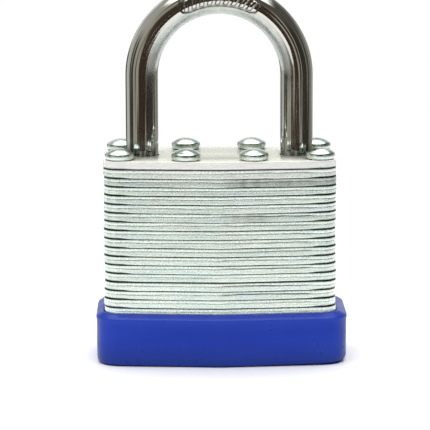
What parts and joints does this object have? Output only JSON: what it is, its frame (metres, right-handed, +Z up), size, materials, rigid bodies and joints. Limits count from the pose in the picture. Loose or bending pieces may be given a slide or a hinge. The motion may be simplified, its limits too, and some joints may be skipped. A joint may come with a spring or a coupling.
{
  "type": "laminated padlock",
  "caption": "Keyed padlock with a riveted stack of steel plates, a chromed round shackle that lifts on a spring, and a moulded bumper round its foot.",
  "frame": {"origin": "centre of the underside of the bumper's foot", "axes": "+Z up the shackle from the keyhole end, -Y out of the front face, +X towards the shackle's heel leg"},
  "size_m": [0.0434, 0.024, 0.0654],
  "materials": {
    "zinc_plate": "zinc plated, punched edges with fine horizontal drag marks",
    "zinc_rivet": "zinc plated, pressed smooth",
    "shackle_chrome": "polished chrome plate",
    "bumper_blue": "moulded, satin",
    "brass": "machined",
    "bare_steel": "pressed, oiled",
    "spring_steel": "drawn wire and blued strip"
  },
  "bodies": {
    "lock_body": {"plate_01": "zinc_plate", "plate_02": "zinc_plate", "plate_03": "zinc_plate", "plate_04": "zinc_plate", "plate_05": "zinc_plate", "plate_06": "zinc_plate", "plate_07": "zinc_plate", "plate_08": "zinc_plate", "plate_09": "zinc_plate", "plate_10": "zinc_plate", "plate_11": "zinc_plate", "plate_12": "zinc_plate", "plate_13": "zinc_plate", "plate_14": "zinc_plate", "plate_15": "zinc_plate", "plate_16": "zinc_plate", "plate_17": "zinc_plate", "plate_18": "zinc_plate", "plate_19": "zinc_plate", "plate_20": "zinc_plate", "plate_21": "zinc_plate", "plate_22": "zinc_plate", "rivet_1": "zinc_rivet", "rivet_2": "zinc_rivet", "rivet_3": "zinc_rivet", "rivet_4": "zinc_rivet", "rivet_5": "zinc_rivet", "rivet_6": "zinc_rivet", "rivet_7": "zinc_rivet", "rivet_8": "zinc_rivet", "bumper": "bumper_blue", "cylinder_housing": "brass", "chamber_cover": "brass", "shackle_spring": "spring_steel", "lever_spring": "spring_steel", "pin_spring_1": "spring_steel", "pin_spring_2": "spring_steel", "pin_spring_3": "spring_steel", "pin_spring_4": "spring_steel"},
    "shackle": {"shackle": "shackle_chrome", "shackle_retaining_ring": "bare_steel"},
    "plug": {"plug": "brass", "plug_retaining_clip": "spring_steel", "cam": "bare_steel"},
    "toe_lever": {"toe_lever": "bare_steel"},
    "heel_lever": {"heel_lever": "bare_steel"},
    "key_pin_1": {"key_pin_1": "brass"},
    "key_pin_2": {"key_pin_2": "brass"},
    "key_pin_3": {"key_pin_3": "brass"},
    "key_pin_4": {"key_pin_4": "brass"},
    "driver_pin_1": {"driver_pin_1": "brass"},
    "driver_pin_2": {"driver_pin_2": "brass"},
    "driver_pin_3": {"driver_pin_3": "brass"},
    "driver_pin_4": {"driver_pin_4": "brass"}
  },
  "joints": [
    {"name": "shackle_lift", "type": "slide", "parent": "lock_body", "child": "shackle", "axis": [0, 0, 1], "range_m": [0, 0.0115], "deforming": ["shackle_spring"]},
    {"name": "plug_turn", "type": "hinge", "parent": "lock_body", "child": "plug", "pos_m": [0, 0, 0.00255], "axis": [0, 0, 1], "range_deg": [-90, 0]},
    {"name": "toe_lever_slide", "type": "slide", "parent": "lock_body", "child": "toe_lever", "axis": [-1, 0, 0], "range_m": [0, 0.0014], "deforming": ["lever_spring"]},
    {"name": "heel_lever_slide", "type": "slide", "parent": "lock_body", "child": "heel_lever", "axis": [1, 0, 0], "range_m": [0, 0.0014]},
    {"name": "key_pin_1_slide", "type": "slide", "parent": "plug", "child": "key_pin_1", "axis": [0, 1, 0], "range_m": [0, 0.00245]},
    {"name": "key_pin_2_slide", "type": "slide", "parent": "plug", "child": "key_pin_2", "axis": [0, 1, 0], "range_m": [0, 0.00155]},
    {"name": "key_pin_3_slide", "type": "slide", "parent": "plug", "child": "key_pin_3", "axis": [0, 1, 0], "range_m": [0, 0.00205]},
    {"name": "key_pin_4_slide", "type": "slide", "parent": "plug", "child": "key_pin_4", "axis": [0, 1, 0], "range_m": [0, 0.00125]},
    {"name": "driver_pin_1_slide", "type": "slide", "parent": "lock_body", "child": "driver_pin_1", "axis": [-1, 0, 0], "range_m": [0, 0.0012], "stiffness_N_per_m": 50, "springref_m": -0.002, "deforming": ["pin_spring_1"]},
    {"name": "driver_pin_2_slide", "type": "slide", "parent": "lock_body", "child": "driver_pin_2", "axis": [-1, 0, 0], "range_m": [0, 0.0012], "stiffness_N_per_m": 50, "springref_m": -0.002, "deforming": ["pin_spring_2"]},
    {"name": "driver_pin_3_slide", "type": "slide", "parent": "lock_body", "child": "driver_pin_3", "axis": [-1, 0, 0], "range_m": [0, 0.0012], "stiffness_N_per_m": 50, "springref_m": -0.002, "deforming": ["pin_spring_3"]},
    {"name": "driver_pin_4_slide", "type": "slide", "parent": "lock_body", "child": "driver_pin_4", "axis": [-1, 0, 0], "range_m": [0, 0.0012], "stiffness_N_per_m": 50, "springref_m": -0.002, "deforming": ["pin_spring_4"]}
  ],
  "couplings": [
    {"joint": "plug_turn", "follows": "toe_lever_slide", "rad_per_m": -1122},
    {"joint": "heel_lever_slide", "follows": "toe_lever_slide", "ratio": 1}
  ]
}
